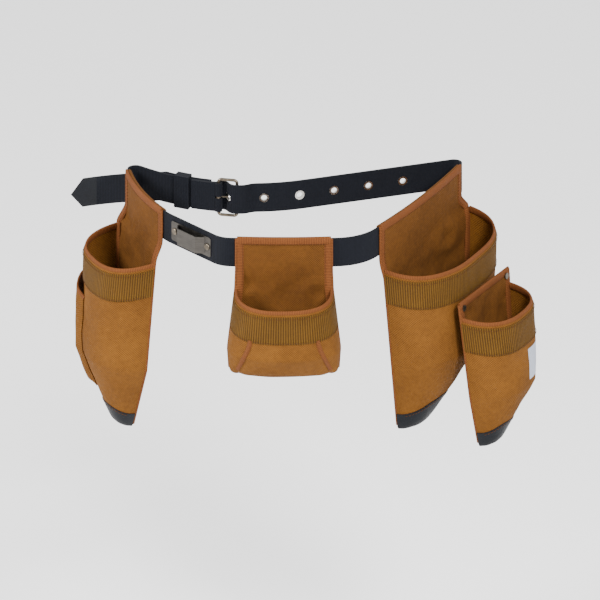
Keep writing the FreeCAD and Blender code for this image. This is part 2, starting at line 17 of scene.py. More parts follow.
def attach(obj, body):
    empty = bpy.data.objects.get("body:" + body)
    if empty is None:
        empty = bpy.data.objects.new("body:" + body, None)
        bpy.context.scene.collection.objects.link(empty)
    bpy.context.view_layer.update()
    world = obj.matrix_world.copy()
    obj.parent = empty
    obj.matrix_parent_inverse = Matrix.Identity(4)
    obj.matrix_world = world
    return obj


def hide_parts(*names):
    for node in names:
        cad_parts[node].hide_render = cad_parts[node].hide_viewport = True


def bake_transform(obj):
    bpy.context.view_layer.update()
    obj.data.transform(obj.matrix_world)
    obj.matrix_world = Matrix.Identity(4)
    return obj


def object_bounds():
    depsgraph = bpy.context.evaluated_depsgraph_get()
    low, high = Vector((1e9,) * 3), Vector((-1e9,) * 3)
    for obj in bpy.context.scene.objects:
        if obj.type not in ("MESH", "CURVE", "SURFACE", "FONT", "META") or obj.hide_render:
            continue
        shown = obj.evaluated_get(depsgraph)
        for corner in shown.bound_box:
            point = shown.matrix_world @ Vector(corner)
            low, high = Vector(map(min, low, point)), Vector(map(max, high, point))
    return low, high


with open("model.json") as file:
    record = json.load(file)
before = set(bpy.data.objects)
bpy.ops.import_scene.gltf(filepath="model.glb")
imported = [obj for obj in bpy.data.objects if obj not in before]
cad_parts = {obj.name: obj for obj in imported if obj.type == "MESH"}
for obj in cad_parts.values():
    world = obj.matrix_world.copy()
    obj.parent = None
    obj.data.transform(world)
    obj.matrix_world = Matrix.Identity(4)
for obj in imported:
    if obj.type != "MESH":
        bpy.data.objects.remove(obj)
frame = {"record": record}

cad_low, cad_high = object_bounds()
joints = {joint["name"]: joint for joint in frame["record"]["behaviour"]["joints"]}
print("CAD box", [round(v, 3) for v in cad_high - cad_low])

# %% [markdown]
# A pouch is easiest to shape in its own directions: along the belt, outward from the wearer,
# and up from the seam under the belt. The swing joint gives all three, because its pin lies
# along the seam. The pouch leans out a little from the seam down, so points below the seam
# are turned by that lean.

# %% The directions of each pouch
SEAM_TO_TOP = 0.0439
TUNNEL_DEPTH = 0.0068
BAND_FOOT = 0.040
GUSSET_TOP = 0.19
GUSSET_SPREAD = 0.115


class Hang:
    """The place of one pouch: where its seam is, and which way it faces."""

    def __init__(self, name, lean, lower=0.0, inset=0.0):
        swing = joints[name + "_swing"]
        self.along = -Vector(swing["axis"])
        self.out = self.along.cross(Vector((0, 0, 1)))
        self.lean = math.radians(lean)
        self.seam = Vector(swing["pos_m"]) + self.turned(inset, lower)
        slide = joints.get(name + "_slide")
        self.radius = 0.0
        if slide:
            reach = self.seam - Vector(slide["pos_m"])
            self.radius = Vector((reach.x, reach.y)).length

    def turned(self, out, up):
        c, s = math.cos(self.lean), math.sin(self.lean)
        return self.out * (out * c - up * s) + Vector((0, 0, 1)) * (up * c + out * s)

    def at(self, along, out, up):
        """A point along the belt, outward and up from the seam's middle."""
        if up > 0 and self.radius:
            return self.seam + self.along * along + self.out * out + Vector((0, 0, up))
        return self.seam + self.along * along + self.turned(out, up)

    def bend(self, along, up):
        """How far the belt's curve sets a point back. The cloth is flat lower down."""
        if not self.radius:
            return 0.0
        sag = self.radius - math.sqrt(self.radius ** 2 - along ** 2)
        fade = min(1.0, max(0.0, 1 + up / 0.03))
        return sag * fade * fade * (3 - 2 * fade)


# %% [markdown]
# A pouch is given by three levels, the rim, the shoulder and the bottom. Each has a shift along
# the belt, a width and a depth, and heights between them are mixed. The canvas is slack below
# the band, so a smooth random offset is added there.

# %% The shape of a pouch
class Pouch:
    """One pouch, in metres, from its rim down to its bottom."""

    def __init__(self, name, lean, top_width, rim, shoulder, bottom, rim_drop, rim_dip,
                 height, share, tip_h=0.0, lower=0.0, inset=0.0):
        self.name = name
        self.hang = Hang(name, lean, lower, inset)
        self.top_width, self.rim_dip, self.tip_h = top_width, rim_dip, tip_h
        self.rim_z = -rim_drop
        self.low_z = -rim_drop - height
        self.levels = [(self.rim_z, *rim), (self.rim_z - height * share, *shoulder),
                       (self.low_z, *bottom)]

    def level(self, z):
        """Shift, half width and depth of the pouch at a height."""
        rows = self.levels
        if z >= rows[0][0]:
            return rows[0][1], rows[0][2] / 2, rows[0][3]
        for upper, lower in zip(rows, rows[1:]):
            if z >= lower[0]:
                t = (upper[0] - z) / (upper[0] - lower[0])
                mixed = [a + (b - a) * t for a, b in zip(upper[1:], lower[1:])]
                return mixed[0], mixed[1] / 2, mixed[2]
        return rows[-1][1], rows[-1][2] / 2, rows[-1][3]

    def outline(self, t, z, grow=0.0, shrink=1.0):
        """A point of the bellied front: t runs from one side (0) to the other (1)."""
        shift, half, depth = self.level(z)
        angle = math.pi * t
        c, s = math.cos(angle), max(0.0, math.sin(angle))
        across = math.copysign(abs(c) ** 0.8, c)
        along = shift - (half + grow) * across * (1 - 0.12 * (1 - shrink))
        return along, (depth + grow) * s ** 0.8 * shrink

    def skin(self, t, z, grow=0.0, shrink=1.0):
        """A point on the sewn front, or on a layer that stands grow outside it."""
        along, out = self.outline(t, z, grow, shrink)
        spot = Vector((*self.outline(t, z), z))
        hold = math.sin(math.pi * t) ** 1.2 * max(0.0, shrink)
        slack = min(1.0, max(0.0, (self.rim_z - 0.03 - z) / 0.05))
        soft = wobble(spot, 0.07, 0.0030, 1.7) + slack * wobble(spot, 0.028, 0.0022, 5.2)
        return self.hang.at(along, out + hold * soft - self.pinch(t, z), z)

    def pinch(self, t, z):
        """How far the piped seams of the cut-in-three pouch draw its front in."""
        if self.tip_h:
            return 0.0
        share = min(1.0, max(0.0, (self.rim_z - self.rim_dip - BAND_FOOT - z) / 0.052))
        seam_t = GUSSET_TOP + GUSSET_SPREAD * share ** 1.8
        away = (abs(t - 0.5) - seam_t) / 0.05
        return 0.0045 * share * math.exp(-away ** 2)

    def rim_height(self, t, drop=0.0):
        """The height of the slanting rim, lowest at the front."""
        depth = self.outline(t, self.rim_z)[1]
        return self.rim_z - self.rim_dip * depth / self.levels[0][3] - drop


# %% [markdown]
# The left and right pouches are long and narrow towards the bottom. The centre pouch is short
# and wide. The second pouch has the shape of the long ones at a smaller size. It hangs lower,
# on the front of the right pouch instead of on the belt.

# %% The four sizes
LEFT = Pouch("left", 3.0, 0.122, (-0.009, 0.130, 0.058), (-0.008, 0.108, 0.055),
             (-0.006, 0.034, 0.016), 0.032, 0.012, 0.236, 0.62, 0.026)
CENTRE = Pouch("centre", 5.0, 0.116, (0.0, 0.118, 0.058), (0.0, 0.136, 0.050),
               (0.0, 0.132, 0.030), 0.024, 0.010, 0.106, 0.72)
RIGHT = Pouch("right", 4.0, 0.202, (0.006, 0.216, 0.067), (-0.002, 0.190, 0.060),
              (-0.070, 0.048, 0.018), 0.015, 0.014, 0.214, 0.62, 0.026)
SECOND = Pouch("second", 6.0, 0.124, (0.0, 0.122, 0.052), (-0.002, 0.108, 0.048),
               (-0.030, 0.034, 0.016), 0.018, 0.010, 0.174, 0.62, 0.024,
               lower=0.007, inset=0.002)
POUCHES = [LEFT, CENTRE, RIGHT, SECOND]
for pouch in POUCHES:
    print(pouch.name, "seam", [round(v, 3) for v in pouch.hang.seam],
          "belt arc radius", round(pouch.hang.radius, 3))

# %% [markdown]
# Cloth starts as a flat grid, as it comes off the roll. Each vertex is then laid where the
# sewn cloth goes, and a Solidify modifier gives the cloth its thickness. The grid's UV map is
# in metres, measured along its middle row and column, so a weave has nearly the same size on
# every piece.

# %% Cloth from a grid
def only(piece):
    bpy.ops.object.select_all(action="DESELECT")
    piece.select_set(True)
    bpy.context.view_layer.objects.active = piece


def apply_modifier(piece, kind, **settings):
    only(piece)
    modifier = piece.modifiers.new(kind.title(), kind)
    for key, value in settings.items():
        setattr(modifier, key, value)
    bpy.ops.object.modifier_apply(modifier=modifier.name)


def laid_grid(name, columns, rows, place, wrap=False):
    """A grid with each vertex laid by place(u, v). A wrapped grid closes on itself in v."""
    bpy.ops.object.select_all(action="DESELECT")
    bpy.ops.mesh.primitive_grid_add(x_subdivisions=columns, y_subdivisions=rows, size=1)
    piece = bpy.context.object
    piece.name = piece.data.name = name
    mesh = piece.data
    spots = {}
    for vertex in mesh.vertices:
        u = round((vertex.co.x + 0.5) * columns) / columns
        v = round((vertex.co.y + 0.5) * rows) / rows
        spots[vertex.index] = (u, v)
    points = {}
    for index, (u, v) in spots.items():
        spot = place(u, v)
        points[(round(u * columns), round(v * rows))] = spot
        mesh.vertices[index].co = spot
    mid_row, mid_column = rows // 2, columns // 2
    wide, tall = [0.0], [0.0]
    for i in range(columns):
        wide.append(wide[-1] + (points[(i + 1, mid_row)] - points[(i, mid_row)]).length)
    for j in range(rows):
        tall.append(tall[-1] + (points[(mid_column, j + 1)] - points[(mid_column, j)]).length)
    uv_map = mesh.uv_layers.active.data
    for loop in mesh.loops:
        u, v = spots[loop.vertex_index]
        uv_map[loop.index].uv = (wide[round(u * columns)], tall[round(v * rows)])
    if wrap:
        only(piece)
        bpy.ops.object.mode_set(mode="EDIT")
        bpy.ops.mesh.select_all(action="SELECT")
        bpy.ops.mesh.remove_doubles(threshold=1e-6)
        bpy.ops.mesh.select_all(action="DESELECT")
        bpy.ops.mesh.select_non_manifold(extend=False)
        bpy.ops.mesh.edge_face_add()
        bpy.ops.mesh.select_all(action="SELECT")
        bpy.ops.mesh.normals_make_consistent(inside=False)
        bpy.ops.object.mode_set(mode="OBJECT")
    return piece


def finish_cloth(piece, thickness, material, offset=1.0):
    """Give a sheet its thickness, round its shading and dress it."""
    if thickness:
        apply_modifier(piece, "SOLIDIFY", thickness=thickness, offset=offset,
                       use_even_offset=True)
    only(piece)
    bpy.ops.object.shade_smooth_by_angle(angle=math.radians(50))
    piece.data.materials.clear()
    piece.data.materials.append(material)
    return piece


def wobble(point, size, amount, seed):
    """A smooth random offset, the same on each run."""
    return amount * noise.noise(point / size + Vector((seed, seed * 0.7, seed * 1.3)))


# %% [markdown]
# Shader maths reads best as sums. A Wire holds one output socket, and adding or multiplying
# wires adds the Math nodes. The Finish class makes any other node.

# %% Shader helpers
class Wire:
    def __init__(self, finish, socket):
        self.finish, self.socket = finish, socket

    def math(self, values, **settings):
        return self.finish.node("ShaderNodeMath", settings, values)

    def __add__(self, other):
        return self.math([self, other], operation="ADD")

    __radd__ = __add__

    def __mul__(self, other):
        return self.math([self, other], operation="MULTIPLY")

    def __sub__(self, other):
        return self.math([self, other], operation="SUBTRACT")

    def __rsub__(self, other):
        return self.math([other, self], operation="SUBTRACT")

    def sine(self):
        return self.math([self], operation="SINE")

    def clamp(self):
        return self.math([self, 0.0], operation="ADD", use_clamp=True)


class Finish:
    """One material, whose nodes are made by a method."""

    def __init__(self, name):
        self.material = bpy.data.materials.new(name)
        self.material.use_nodes = True
        self.tree = self.material.node_tree
        self.shader = self.tree.nodes["Principled BSDF"]

    def node(self, kind, settings, inputs, output=0):
        made = self.tree.nodes.new(kind)
        for key, value in settings.items():
            setattr(made, key, value)
        pairs = inputs.items() if isinstance(inputs, dict) else enumerate(inputs)
        for key, value in pairs:
            self.feed(made.inputs[key], value)
        return Wire(self, made.outputs[output])

    def feed(self, socket, value):
        if isinstance(value, Wire):
            self.tree.links.new(value.socket, socket)
        else:
            socket.default_value = value

    def mix(self, share, low, high):
        made = self.tree.nodes.new("ShaderNodeMix")
        made.data_type = "RGBA"
        self.feed(made.inputs[0], share)
        self.feed(made.inputs[6], low if isinstance(low, Wire) else (*low, 1))
        self.feed(made.inputs[7], high if isinstance(high, Wire) else (*high, 1))
        return Wire(self, made.outputs[2])

    def uv(self):
        split = self.tree.nodes.new("ShaderNodeSeparateXYZ")
        place = self.node("ShaderNodeTexCoord", {}, {}, "UV")
        self.tree.links.new(place.socket, split.inputs[0])
        return place, Wire(self, split.outputs[0]), Wire(self, split.outputs[1])

    def place(self):
        place = self.node("ShaderNodeTexCoord", {}, {}, "Object")
        split = self.tree.nodes.new("ShaderNodeSeparateXYZ")
        self.tree.links.new(place.socket, split.inputs[0])
        return place, [Wire(self, output) for output in split.outputs]

    def cloud(self, place, scale, detail=3.0, roughness=0.55):
        return self.node("ShaderNodeTexNoise", {}, {"Vector": place, "Scale": scale,
                         "Detail": detail, "Roughness": roughness})

    def set(self, **values):
        for key, value in values.items():
            self.feed(self.shader.inputs[key.replace("_", " ")], value)

    def bump(self, height, strength, distance):
        normal = self.node("ShaderNodeBump", {}, {"Height": height, "Strength": strength,
                           "Distance": distance})
        self.set(Normal=normal)


# %% [markdown]
# The canvas is a tight duck weave of brown yarns. The weave pattern repeats every 2.9 mm, which
# is coarser than real duck but still shows from a distance. Clouds of lighter and darker brown
# stand for uneven dye, slubs and handling.

# %% Canvas
TURN = 2 * math.pi
YARN = 0.0029


def canvas(name, low, high):
    f = Finish(name)
    place, u, v = f.uv()
    warp = (u * (TURN / YARN)).sine()
    weft = (v * (TURN / YARN)).sine()
    weave = warp * weft * 0.5 + 0.5
    yarns = f.cloud(place, 900.0, 2.0)
    patches = f.cloud(place, 14.0, 4.0, 0.6)
    slubs = f.cloud(place, 160.0, 3.0, 0.6)
    share = (weave * 0.50 + yarns * 0.25 + patches * 0.6 + slubs * 0.4 - 0.42).clamp()
    f.set(Base_Color=f.mix(share, low, high), Roughness=0.95 - yarns * 0.12)
    f.set(Specular_IOR_Level=0.1)
    f.bump(weave + slubs * 0.8, 0.8, 0.0006)
    return f.material


CANVAS = canvas("canvas", (0.036, 0.0120, 0.0018), (0.196, 0.077, 0.0115))
# The back panel takes the same canvas made darker: painted shade for the inside of the pouches.
SHADED_CANVAS = canvas("canvas_lining", (0.024, 0.0080, 0.0014), (0.140, 0.053, 0.0085))
print("cloths", CANVAS.name, SHADED_CANVAS.name)

# %% [markdown]
# Folded tape covers each raw edge. It is ribbed across its width, redder than the canvas, and
# a row of stitches runs along it.

# %% Tape, band and thread
ROW_PITCH = 0.0012


def ribbed(name, low, high, pitch, depth):
    f = Finish(name)
    place, u, v = f.uv()
    ribs = (u * (TURN / pitch)).sine() * 0.5 + 0.5
    rows = (v * (TURN / ROW_PITCH)).sine() * 0.5 + 0.5
    fray = f.cloud(place, 420.0, 3.0)
    patches = f.cloud(place, 26.0, 3.0)
    share = (ribs * 0.55 + rows * 0.15 + fray * 0.45 + patches * 0.35 - 0.32).clamp()
    f.set(Base_Color=f.mix(share, low, high), Roughness=0.82)
    f.set(Specular_IOR_Level=0.12)
    f.bump(ribs + rows * 0.25 + fray * 0.35, 0.8, depth)
    return f.material


TAPE = ribbed("binding_tape", (0.050, 0.0135, 0.0032), (0.165, 0.054, 0.0130), 0.0021, 0.0003)
BAND = ribbed("ribbed_band", (0.015, 0.0060, 0.0006), (0.140, 0.064, 0.0062), 0.0030, 0.0011)


def plain(name, color, roughness):
    f = Finish(name)
    grain = f.cloud(f.place()[0], 700.0, 2.0)
    dark = [c * 0.75 for c in color]
    light = [c * 1.2 for c in color]
    f.set(Base_Color=f.mix(grain, dark, light), Roughness=roughness)
    f.set(Specular_IOR_Level=0.1)
    return f.material


THREAD = plain("brown_thread", (0.060, 0.021, 0.006), 0.8)
PALE_THREAD = plain("pale_thread", (0.62, 0.63, 0.66), 0.7)
LABEL = ribbed("woven_label", (0.24, 0.26, 0.31), (0.44, 0.46, 0.52), 0.0014, 0.0002)
print("ribbed", TAPE.name, BAND.name, LABEL.name, "threads", THREAD.name, PALE_THREAD.name)

# %% [markdown]
# The leather of the tips is black with a pebbled grain. It shines a little where it is worn.

# %% Leather, webbing and metals
def leather():
    f = Finish("black_leather")
    place = f.place()[0]
    pebbles = f.node("ShaderNodeTexVoronoi", {}, {"Vector": place, "Scale": 750.0})
    creases = f.cloud(place, 120.0, 4.0, 0.6)
    wear = f.cloud(place, 30.0, 3.0)
    share = (pebbles * 0.5 + creases * 0.7 - 0.25).clamp()
    f.set(Base_Color=f.mix(share, (0.0010, 0.0013, 0.0022), (0.0055, 0.0065, 0.0095)))
    f.set(Specular_IOR_Level=0.14)
    f.set(Roughness=0.42 + wear * 0.25)
    f.bump(pebbles + creases * 1.2, 0.6, 0.0004)
    return f.material


def webbing():
    f = Finish("black_webbing")
    place, (x, y, z) = f.place()
    rows = (z * (TURN / 0.0016)).sine() * 0.5 + 0.5
    turned = ((x + y * 0.7) * (TURN / 0.0021)).sine() * 0.5 + 0.5
    fuzz = f.cloud(place, 500.0, 3.0)
    patches = f.cloud(place, 25.0, 3.0)
    share = (rows * 0.35 + turned * 0.2 + fuzz * 0.4 + patches * 0.3 - 0.25).clamp()
    f.set(Base_Color=f.mix(share, (0.0006, 0.0009, 0.0018), (0.0058, 0.0070, 0.0120)),
          Roughness=0.8)
    f.set(Sheen_Weight=0.02, Sheen_Roughness=0.5, Specular_IOR_Level=0.1)
    f.bump(rows + turned * 0.4 + fuzz * 0.5, 0.6, 0.00035)
    return f.material


def metal(name, low, high, brushed, roughness):
    f = Finish(name)
    place = f.place()[0]
    stretched = f.node("ShaderNodeVectorMath", {"operation": "MULTIPLY"},
                       [place, (60.0, 60.0, 900.0)])
    brush = f.cloud(stretched, 1.0, 3.0)
    stains = f.cloud(place, 90.0, 4.0, 0.65)
    share = (brush * brushed + stains * (1.1 - brushed) - 0.05).clamp()
    f.set(Base_Color=f.mix(share, low, high), Metallic=1.0)
    f.set(Roughness=roughness + stains * 0.2)
    f.bump(brush * brushed + stains * 0.4, 0.25, 0.0002)
    return f.material


LEATHER = leather()
WEBBING = webbing()
BRONZE = metal("antique_bronze", (0.022, 0.018, 0.014), (0.20, 0.165, 0.125), 0.2, 0.26)
PEWTER = metal("antique_pewter", (0.022, 0.020, 0.018), (0.115, 0.105, 0.094), 0.5, 0.30)
NICKEL = metal("nickel", (0.30, 0.29, 0.27), (0.62, 0.61, 0.58), 0.3, 0.16)
print("metals", BRONZE.name, PEWTER.name, NICKEL.name)

# %% [markdown]
# Tape is folded over an edge, so its section is a flat oval. The tape follows a line of
# points, with its wide side along a given direction at each point.

# %% Folded tape along an edge
SECTION = 12


def directions(points):
    ahead = []
    for i in range(len(points)):
        a, b = points[max(0, i - 1)], points[min(len(points) - 1, i + 1)]
        ahead.append((b - a).normalized())
    return ahead


def tape(name, points, wide_ways, wide, thick, material, power=0.7):
    """A folded tape along points. wide_ways gives the direction of its wide side."""
    ahead = directions(points)
    last = len(points) - 1

    def place(u, v):
        i = round(u * last)
        way = wide_ways[i]
        side = ahead[i].cross(way).normalized()
        way = side.cross(ahead[i]).normalized()
        angle = TURN * v
        c, s = math.cos(angle), math.sin(angle)
        a = math.copysign(abs(c) ** power, c) * wide / 2
        b = math.copysign(abs(s) ** power, s) * thick / 2
        return points[i] + way * a + side * b

    piece = laid_grid(name, last, SECTION, place, wrap=True)
    return finish_cloth(piece, 0, material)


# %% [markdown]
# A stitch is a short thread that sinks into the cloth at both ends. One is modelled from a
# cylinder, and it is copied along each seam.

# %% One stitch, copied along a seam
STITCH = 0.0030
STITCH_GAP = 0.0011


def one_stitch():
    bpy.ops.object.select_all(action="DESELECT")
    bpy.ops.mesh.primitive_cylinder_add(vertices=6, radius=0.00042, depth=STITCH,
                                        rotation=(0, math.pi / 2, 0))
    stitch = bpy.context.object
    bpy.ops.object.transform_apply(rotation=True)
    bpy.ops.object.mode_set(mode="EDIT")
    bpy.ops.mesh.select_all(action="SELECT")
    bpy.ops.mesh.subdivide(number_cuts=1)
    bpy.ops.object.mode_set(mode="OBJECT")
    for vertex in stitch.data.vertices:
        share = abs(vertex.co.x) / (STITCH / 2)
        vertex.co.y *= 1 - 0.45 * share ** 2
        vertex.co.z = vertex.co.z * (1 - 0.45 * share ** 2) - 0.0003 * share ** 2
    points = np.array([v.co[:] for v in stitch.data.vertices])
    faces = [tuple(p.vertices) for p in stitch.data.polygons]
    bpy.data.objects.remove(stitch)
    return points, faces


STITCH_POINTS, STITCH_FACES = one_stitch()
print("one stitch has", len(STITCH_FACES), "faces")


# %% [markdown]
# A seam measures its line, divides it into equal steps and sets one stitch at each.

# %% Stitches along a seam
def seam(name, lines, material=THREAD):
    """Stitches along each line of (points, outward directions), all in one piece."""
    points, faces = [], []
    for line, outs in lines:
        lengths = [0.0]
        for a, b in zip(line, line[1:]):
            lengths.append(lengths[-1] + (b - a).length)
        steps = max(1, int(lengths[-1] / (STITCH + STITCH_GAP)))
        for k in range(steps):
            s = (k + 0.5) * lengths[-1] / steps
            i = max(j for j in range(len(line) - 1) if lengths[j] <= s)
            t = (s - lengths[i]) / max(1e-9, lengths[i + 1] - lengths[i])
            spot = line[i].lerp(line[i + 1], t)
            ahead = (line[i + 1] - line[i]).normalized()
            out = outs[i].lerp(outs[i + 1], t)
            side = out.cross(ahead).normalized()
            out = ahead.cross(side)
            base = len(points)
            for x, y, z in STITCH_POINTS:
                points.append(spot + ahead * x + side * y + out * z)
            faces += [tuple(base + j for j in face) for face in STITCH_FACES]
    mesh = bpy.data.meshes.new(name)
    mesh.from_pydata([p[:] for p in points], [], faces)
    piece = bpy.data.objects.new(name, mesh)
    bpy.context.scene.collection.objects.link(piece)
    mesh.materials.append(material)
    for polygon in mesh.polygons:
        polygon.use_smooth = True
    return piece


# %% [markdown]
# The back panel of a belt pouch is one length of canvas. It starts behind the belt, folds over
# the top of the webbing, comes down in front of it and goes on to the bottom of the pouch. On
# the three pouches of the belt the panel crosses the seam, and it is left in place, fixed to no
# body. The second pouch's panel starts at its own top instead.

# %% Back panels
CLOTH = 0.0018
FRONT_CLOTH = 0.0016
TRIM_CLOTH = 0.0012
FOLD_TOP = SEAM_TO_TOP - CLOTH / 2


def panel_half(pouch, z):
    """Half width and shift of the back panel at a height above or below the seam."""
    shift, half = pouch.level(z)[:2]
    if z >= 0:
        return 0.0, pouch.top_width / 2
    if z >= pouch.rim_z:
        t = z / pouch.rim_z
        return shift * t, pouch.top_width / 2 + (half - pouch.top_width / 2) * t
    return shift, half


def panel_profile(pouch, over_belt):
    """The (out, up) line that the back panel follows, from behind the belt to the bottom."""
    line = []
    inner = -TUNNEL_DEPTH + CLOTH / 2
    if over_belt:
        line += [(inner, 0.002 + (FOLD_TOP - 0.005) * i / 6) for i in range(7)]
        middle = (inner - CLOTH / 2) / 2
        radius = abs(inner - middle)
        for i in range(1, 6):
            angle = math.pi * i / 6
            line.append((middle - radius * math.cos(angle),
                         FOLD_TOP - 0.003 + 0.003 * math.sin(angle)))
        start = FOLD_TOP - 0.003
    else:
        start = 0.0
    count = max(8, int((start - pouch.low_z) / 0.005))
    line += [(-CLOTH / 2, start + (pouch.low_z - start) * i / count) for i in range(count + 1)]
    return line


def crumple(pouch, along, up):
    """Soft creases between the belt and the rim, where the panel hangs free."""
    if up > 0.0:
        return 0.0
    fade = min(1.0, -up / 0.02) * min(1.0, max(0.0, (up - pouch.low_z) / 0.05))
    spot = Vector((along, up * 1.6, pouch.top_width))
    return fade * (wobble(spot, 0.045, 0.0075, 3.1) + wobble(spot, 0.018, 0.0020, 8.4))


def make_back(pouch):
    over_belt = bool(pouch.hang.radius)
    line = panel_profile(pouch, over_belt)
    rows = len(line) - 1

    def place(u, v):
        out, up = line[round(v * rows)]
        shift, half = panel_half(pouch, up)
        along = shift + (u * 2 - 1) * half
        edge = min(1.0, (1 - abs(u * 2 - 1)) * 6)
        push = -abs(crumple(pouch, along, up)) * edge if out > -0.003 else 0.0
        return pouch.hang.at(along, out + push - pouch.hang.bend(along, up), up)

    piece = laid_grid(pouch.name + "_back", 40, rows, place)
    # The panel is dressed in the darker canvas, painted shade for the pouch inside.
    return finish_cloth(piece, CLOTH, SHADED_CANVAS, 0.0)


# %% [markdown]
# The front is a bellied shell. Its outline is straight at the sides and round at the front,
# and it narrows from the shoulder down to the bottom, where it closes against the back panel.
# It sags a little, so no two heights are quite alike. TUCK says how the last rows turn in, as
# (height above the bottom, share of the depth). STITCH_ROWS gives each row of stitches as
# (depth below the rim, how far it stands off the canvas).

# %% Bellied fronts
TUCK = [(0.010, 1.0), (0.005, 0.97), (0.0022, 0.86), (0.0006, 0.68), (0.0, 0.36), (0.0, -0.03)]
FRONT_STEPS = 72
BAND_HIGH = 0.0068
BAND_LOW = 0.044
RIM_WIDE = 0.0088
RIM_THICK = 0.0036
RIM_DROP = 0.0038
STITCH_ROWS = ((0.0066, 0.0013), (0.0098, 0.0030), (0.0422, 0.0030))


def front_place(pouch, grow, top_drop, rows, end_z=None):
    plain_rows = rows - len(TUCK) if end_z is None else rows

    def place(u, v):
        j = round(v * rows)
        high = pouch.rim_height(u, top_drop)
        shrink = 1.0
        if end_z is None and j > plain_rows:
            above, shrink = TUCK[j - plain_rows - 1]
            z = pouch.low_z + above
        else:
            low = pouch.low_z + 0.016 if end_z is None else end_z(u)
            z = high + (low - high) * j / plain_rows
        return pouch.skin(u, z, grow, shrink)

    return place


def make_front(pouch):
    rows = 44
    place = front_place(pouch, 0.0, 0.004, rows)
    piece = laid_grid(pouch.name + "_front_cloth", 56, rows, place)
    return finish_cloth(piece, FRONT_CLOTH, CANVAS, -1.0)


# %% [markdown]
# The ribbed band goes round the front just below the rim, and a tape is folded over the rim
# itself. Rows of stitches hold both.

# %% Band, rim and their stitches
def make_band(pouch):
    def low(u):
        return pouch.rim_height(u, BAND_LOW)

    place = front_place(pouch, 0.0012, BAND_HIGH, 12, low)
    piece = laid_grid(pouch.name + "_band_cloth", 72, 12, place)
    return finish_cloth(piece, TRIM_CLOTH, BAND, -1.0)


def outline_line(pouch, drop, grow):
    """Points along the front at a depth below the rim, with outward directions."""
    points = []
    for i in range(FRONT_STEPS + 1):
        u = i / FRONT_STEPS
        points.append(pouch.skin(u, pouch.rim_height(u, drop), grow))
    up = pouch.hang.turned(0, 1)
    return points, [way.cross(up).normalized() for way in directions(points)]


def make_rim(pouch):
    points = outline_line(pouch, RIM_DROP, -0.0007)[0]
    ups = [pouch.hang.turned(0, 1)] * len(points)
    return tape(pouch.name + "_rim_tape", points, ups, RIM_WIDE, RIM_THICK, TAPE)


def make_front_seams(pouch):
    lines = []
    for drop, grow in STITCH_ROWS:
        points, outs = outline_line(pouch, drop, grow)
        lines.append((points[2:-2], outs[2:-2]))
    return seam(pouch.name + "_front_stitches", lines)


# %% [markdown]
# The sides of the panel are bound with the same tape, from its top down to the bottom of the
# pouch. On the three pouches of the belt the tape crosses the seam, and like the panel it is
# fixed to no body.

# %% Bound edges
EDGE_WIDE = 0.0115
EDGE_THICK = 0.0040
TOP_WIDE = 0.0105
TOP_THICK = 0.0034
TOP_STEPS = 40


def edge_line(pouch, side, top, bottom, step=0.004):
    points, ways = [], []
    count = int((top - bottom) / step)
    for i in range(count + 1):
        up = top + (bottom - top) * i / count
        shift, half = panel_half(pouch, up)
        along = shift + side * (half - 0.0032)
        points.append(pouch.hang.at(along, -CLOTH / 2 - pouch.hang.bend(along, up), up))
        ways.append(pouch.hang.along)
    return points, ways


def make_edges(pouch):
    top = FOLD_TOP - 0.001 if pouch.hang.radius else 0.0
    pieces = []
    for word, side in (("near", -1), ("far", 1)):
        points, ways = edge_line(pouch, side, top, pouch.low_z + 0.004)
        pieces.append(tape(pouch.name + "_edge_tape_" + word, points, ways, EDGE_WIDE, EDGE_THICK,
                           TAPE))
    return pieces


def top_line(pouch, up, out):
    points = []
    for i in range(TOP_STEPS + 1):
        along = (i / TOP_STEPS * 2 - 1) * pouch.top_width / 2
        points.append(pouch.hang.at(along, out - pouch.hang.bend(along, up), up))
    return points


def make_top(pouch):
    """Tape along the top of the panel."""
    up = FOLD_TOP - 0.003 if pouch.hang.radius else -0.0025
    out = 0.0 if pouch.hang.radius else -CLOTH / 2
    points = top_line(pouch, up, out)
    ways = [Vector((0, 0, 1))] * len(points)
    return tape(pouch.name + "_top_tape", points, ways, TOP_WIDE, TOP_THICK, TAPE)


def make_panel_seams(pouch):
    """Stitches along the bound sides of the panel, outside."""
    lines = []
    top = FOLD_TOP - 0.004 if pouch.hang.radius else -0.004
    for side in (-1, 1):
        points = edge_line(pouch, side, top, pouch.rim_z + 0.004, 0.003)[0]
        for inward in (-0.0034, 0.0038):
            line = [p - pouch.hang.along * side * inward + pouch.hang.out * 0.0021 for p in points]
            lines.append((line, [pouch.hang.out] * len(line)))
    if pouch.hang.radius:
        across = top_line(pouch, FOLD_TOP - 0.0068, 0.0017)[2:-2]
        lines.append((across, [pouch.hang.out] * len(across)))
    return seam(pouch.name + "_panel_stitches", lines)


# %% [markdown]
# A leather cap is sewn over the bottom of each long pouch, where tool points wear the canvas.

# %% Leather tips
TIP_STEPS = 32


def make_tip(pouch):
    rows = 14

    def start(u):
        return pouch.low_z + pouch.tip_h * (0.72 + 0.38 * math.sin(math.pi * u) ** 2)

    plain_rows = rows - len(TUCK)

    def place(u, v):
        j = round(v * rows)
        shrink = 1.0
        if j > plain_rows:
            above, shrink = TUCK[j - plain_rows - 1]
            z = pouch.low_z + above - 0.0008
        else:
            z = start(u) + (pouch.low_z + 0.012 - start(u)) * j / plain_rows
        return pouch.skin(u, z, 0.0014, shrink)

    piece = laid_grid(pouch.name + "_leather_tip", TIP_STEPS, rows, place)
    finish_cloth(piece, TRIM_CLOTH, LEATHER, -1.0)
    edge = []
    for i in range(3, TIP_STEPS - 2):
        u = i / TIP_STEPS
        edge.append(pouch.skin(u, start(u) - 0.003, 0.0030))
    stitches = seam(pouch.name + "_tip_stitches", [(edge, [pouch.hang.out] * len(edge))])
    return piece, stitches


# %% [markdown]
# The left pouch has a narrow pocket for a pencil or a level on its side. Its mouth is cut on a
# slant and bound. It is one more sheet over the front, which comes down to the front along its
# free edge and its bottom, where it is sewn.

